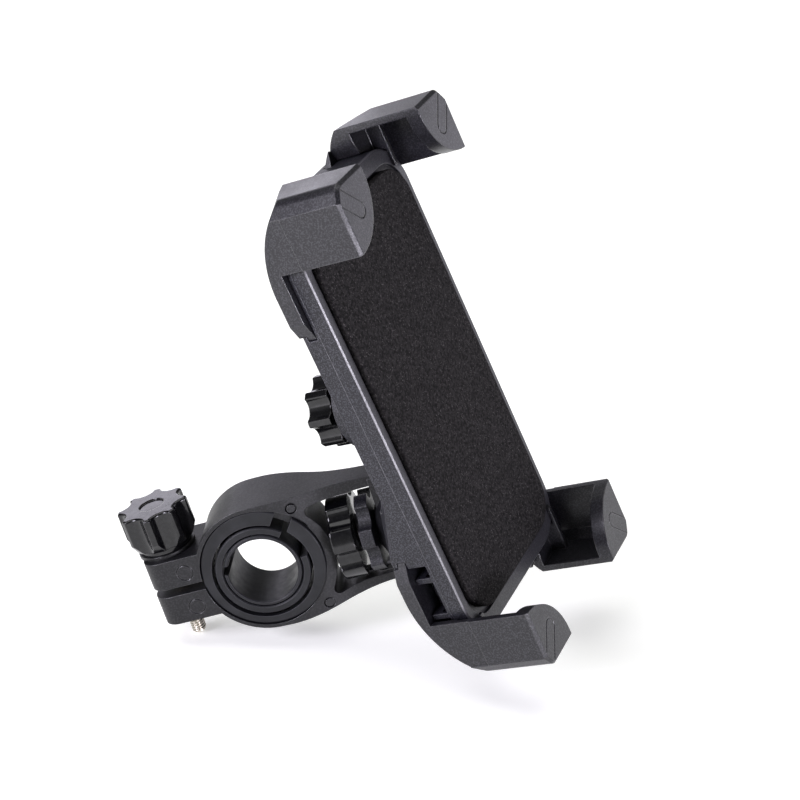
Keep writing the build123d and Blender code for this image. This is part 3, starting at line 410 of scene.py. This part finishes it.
SLOT_MATERIALS = {
    "housing_plastic": moulded_plastic(
        "housing", colour=(0.0082, 0.0080, 0.0118), worn_and_highlight=(0.060, 0.059, 0.070), roughness=0.44,
        grain_mm=0.42, grain=0.65, edge_mm=0.3, painted_light_axis=tuple(HOLDER.col[2])[:3]),
    "clamp_plastic": moulded_plastic(
        "clamp", colour=(0.0062, 0.0060, 0.0080), worn_and_highlight=(0.026, 0.025, 0.030), roughness=0.46,
        grain_mm=0.6, grain=0.22, edge_mm=0.3, sheen=0.4),
    "claw_plastic": moulded_plastic(
        "claw", colour=(0.0112, 0.0108, 0.0140), worn_and_highlight=(0.042, 0.041, 0.047), roughness=0.35,
        grain_mm=0.5, grain=0.38, edge_mm=0.4),
    "knob_plastic": moulded_plastic(
        "knob", colour=(0.0035, 0.0035, 0.0045), worn_and_highlight=(0.020, 0.020, 0.023), roughness=0.11,
        grain_mm=1.2, grain=0.12, edge_mm=0.35),
    "nylon": moulded_plastic(
        "nylon_black", colour=(0.006, 0.006, 0.0066), worn_and_highlight=(0.02, 0.02, 0.022), roughness=0.4,
        grain_mm=0.6, grain=0.3, edge_mm=0.2),
    "shim_rubber": rubber("shim", colour=(0.0055, 0.0057, 0.0072), roughness=0.45),
    "foam": foam("foam_skin"),
    "screw_steel": metal("nickel", colour=(0.66, 0.62, 0.54), roughness=0.22),
    "bright_chrome": metal("chrome_plate", colour=(0.82, 0.82, 0.84), roughness=0.1, scratch=0.04),
}


def dress_nodes():
    """Every CAD node gets the detailed material of its own slot."""
    slots = {part["node"]: part["material_slot"] for part in frame["record"]["subparts"]}
    for name, node in NODES.items():
        for slot in node.material_slots:
            slot.material = SLOT_MATERIALS[slots[name]]


# ---------------------------------------------------------------- modelled pieces
def add_piece(name, mesh, matrix, body, slot, replaced):
    """A modelled piece, placed, dressed and riding on its body in place of a CAD node."""
    piece = bpy.data.objects.new(name, mesh)
    SCENE.collection.objects.link(piece)
    mesh.transform(matrix)
    mesh.materials.append(SLOT_MATERIALS[slot])
    for polygon in mesh.polygons:
        polygon.use_smooth = True
    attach(piece, body)
    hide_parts(replaced)
    return piece


def skin(bm, loops):
    """Quads between neighbouring closed loops, and one face over each end."""
    for lower, upper in zip(loops, loops[1:]):
        for i in range(len(lower)):
            j = (i + 1) % len(lower)
            bm.faces.new((lower[i], lower[j], upper[j], upper[i]))
    bm.faces.new(loops[-1])
    bm.faces.new(list(reversed(loops[0])))


def finished_mesh(name, bm):
    """The bmesh written to a new mesh and freed."""
    mesh = bpy.data.meshes.new(name)
    bm.to_mesh(mesh)
    bm.free()
    return mesh


def rounded_ring(half_w, half_l, radius, steps):
    """Points round a rounded rectangle, steps per corner."""
    points = []
    for quarter, (sx, sy) in enumerate(((1, 1), (-1, 1), (-1, -1), (1, -1))):
        for step in range(steps + 1):
            angle = math.pi / 2 * (quarter + step / steps)
            points.append((sx * (half_w - radius) + radius * math.cos(angle),
                           sy * (half_l - radius) + radius * math.sin(angle)))
    return points


def foam_pad():
    """The pad: a flat foam slab with a rolled edge and a slightly uneven face."""
    low, high = extent("foam_pad", HOLDER)
    half_w = (high.x - low.x) / 2
    half_l = (high.y - low.y) / 2
    top = high.z - PAD_SINK
    # inset and height of each ring: side wall, rolled edge, face
    rings = [(0.0, low.z), (0.0, top - PAD_EDGE_R)]
    for step in range(1, PAD_EDGE_STEPS + 1):
        angle = math.pi / 2 * step / PAD_EDGE_STEPS
        rings.append((PAD_EDGE_R * (1 - math.cos(angle)),
                      top - PAD_EDGE_R + PAD_EDGE_R * math.sin(angle)))
    rings += [(inset * MM, top) for inset in PAD_INSETS_MM]
    bm = bmesh.new()
    loops = []
    for inset, height in rings:
        radius = max(PAD_CORNER_R - inset, PAD_SMALLEST_R)
        ring = rounded_ring(half_w - inset, half_l - inset, radius, PAD_CORNER_STEPS)
        loops.append([bm.verts.new((x, y, height)) for x, y in ring])
    skin(bm, loops)
    bmesh.ops.remove_doubles(bm, verts=bm.verts, dist=PAD_WELD)
    long_edges = [edge for edge in bm.edges if edge.calc_length() > PAD_LONG_EDGE]
    bmesh.ops.subdivide_edges(bm, edges=long_edges, cuts=PAD_CUTS, use_grid_fill=True)
    bmesh.ops.triangulate(bm, faces=[face for face in bm.faces if len(face.verts) > 4])
    for vertex in bm.verts:
        if vertex.co.z > top - PAD_WAVE_ZONE:
            wave = (noise.noise(vertex.co * PAD_WAVES[0])
                    + PAD_SECOND_WAVE * noise.noise(vertex.co * PAD_WAVES[1]))
            vertex.co.z += min(PAD_WAVE_LIMIT_MM, PAD_WAVE_MM * wave) * MM
    mesh = finished_mesh("foam_pad_mesh", bm)
    pad = add_piece("foam_pad_skin", mesh, HOLDER, "holder", "foam", "foam_pad")


def thread_radius(major, phase, from_end):
    """Radius of the thread at a phase of its pitch; less within the taper of the blunt end."""
    groove = abs(2 * phase - 1)
    radius = major - THREAD_DEPTH * min(1.0, max(0.0, THREAD_FLANK * groove - THREAD_CREST))
    taper = min(1.0, from_end / THREAD_TIP)
    return min(radius, major - (1 - taper) * THREAD_TIP_CUT)


def clamp_screw():
    """The screw with its thread cut, blunt at the end; the knob hides its upper half."""
    low, high = extent("clamp_screw", SCREW)
    rows = int((high.z - low.z) / THREAD_PITCH * THREAD_ROWS_PER_TURN)
    bm = bmesh.new()
    loops = []
    for row in range(rows + 1):
        height = low.z + (high.z - low.z) * row / rows
        loop = []
        for i in range(THREAD_AROUND):
            turn = i / THREAD_AROUND
            phase = (height / THREAD_PITCH - turn) % 1.0
            radius = thread_radius(high.x, phase, height - low.z)
            angle = 2 * math.pi * turn
            loop.append(bm.verts.new((radius * math.cos(angle), radius * math.sin(angle), height)))
        loops.append(loop)
    skin(bm, loops)
    mesh = finished_mesh("clamp_screw_mesh", bm)
    add_piece("clamp_screw_thread", mesh, SCREW, "clamp_knob", "screw_steel", "clamp_screw")


# ---------------------------------------------------------------- studio
def floor():
    """A broad sheet of white paper under the object's lowest point."""
    low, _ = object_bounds()
    bm = bmesh.new()
    bmesh.ops.create_grid(bm, x_segments=FLOOR_SEGMENTS, y_segments=FLOOR_SEGMENTS, size=FLOOR_HALF_M)
    mesh = finished_mesh("floor_mesh", bm)
    mesh.materials.append(paper("paper"))
    sheet = bpy.data.objects.new("floor", mesh)
    SCENE.collection.objects.link(sheet)
    sheet.location = (0, 0, low[2] - FLOOR_GAP)
    sheet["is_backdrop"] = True


def area_light(name, position, width, height, watts):
    """A soft box at position, turned to the object and never in shot itself."""
    data = bpy.data.lights.new(name, "AREA")
    data.color = LIGHT_COLOUR
    data.shape = "RECTANGLE"
    data.size = width
    data.size_y = height
    data.energy = watts
    light = bpy.data.objects.new(name, data)
    light.location = position
    aim = Vector(LIGHT_TARGET) - Vector(position)
    light.rotation_euler = aim.to_track_quat("-Z", "Y").to_euler()
    light.visible_camera = False
    SCENE.collection.objects.link(light)


def overhead_sun():
    """Broad even light from above that whitens the paper."""
    data = bpy.data.lights.new("overhead", "SUN")
    data.energy = SUN_STRENGTH
    data.angle = math.radians(SUN_SPREAD_DEG)
    light = bpy.data.objects.new("overhead", data)
    light.rotation_euler = Vector(SUN_TOWARD).to_track_quat("-Z", "Y").to_euler()
    SCENE.collection.objects.link(light)


def surroundings():
    """A white sky, brightest at the horizon and dimmer overhead."""
    world = bpy.data.worlds.new("studio")
    SCENE.world = world
    world.use_nodes = True
    tree = world.node_tree
    direction = tree.nodes.new("ShaderNodeTexCoord")
    split = tree.nodes.new("ShaderNodeSeparateXYZ")
    fade = tree.nodes.new("ShaderNodeMapRange")
    names = ("From Min", "From Max", "To Min", "To Max")
    for key, value in zip(names, (0.0, SKY_FADE_TOP, *SKY_STRENGTH)):
        fade.inputs[key].default_value = value
    tree.links.new(direction.outputs["Generated"], split.inputs[0])
    tree.links.new(split.outputs["Z"], fade.inputs["Value"])
    background = tree.nodes["Background"]
    tree.links.new(fade.outputs["Result"], background.inputs["Strength"])
    background.inputs["Color"].default_value = WHITE


def studio():
    """Sky and sun, a key at the front left, a broad panel at the right, a small one behind
    and a low strip at the front right that lights the edges."""
    surroundings()
    overhead_sun()
    for light in AREA_LIGHTS:
        area_light(*light)


def camera():
    """Long lens, a little to the right of the object's middle and above it."""
    data = bpy.data.cameras.new("camera")
    data.sensor_width = SENSOR_MM
    data.lens = LENS_MM
    data.clip_start = NEAREST_M
    eye = bpy.data.objects.new("camera", data)
    SCENE.collection.objects.link(eye)
    right = Vector(EYE_RIGHT).normalized()
    back = Vector(EYE_BACK).normalized()
    up = back.cross(right).normalized()
    eye.matrix_world = frame_matrix(Vector(EYE), up.cross(back), up, back)
    SCENE.camera = eye


SCENE.view_settings.view_transform = "Standard"
dress_nodes()
foam_pad()
clamp_screw()
floor()
studio()
camera()
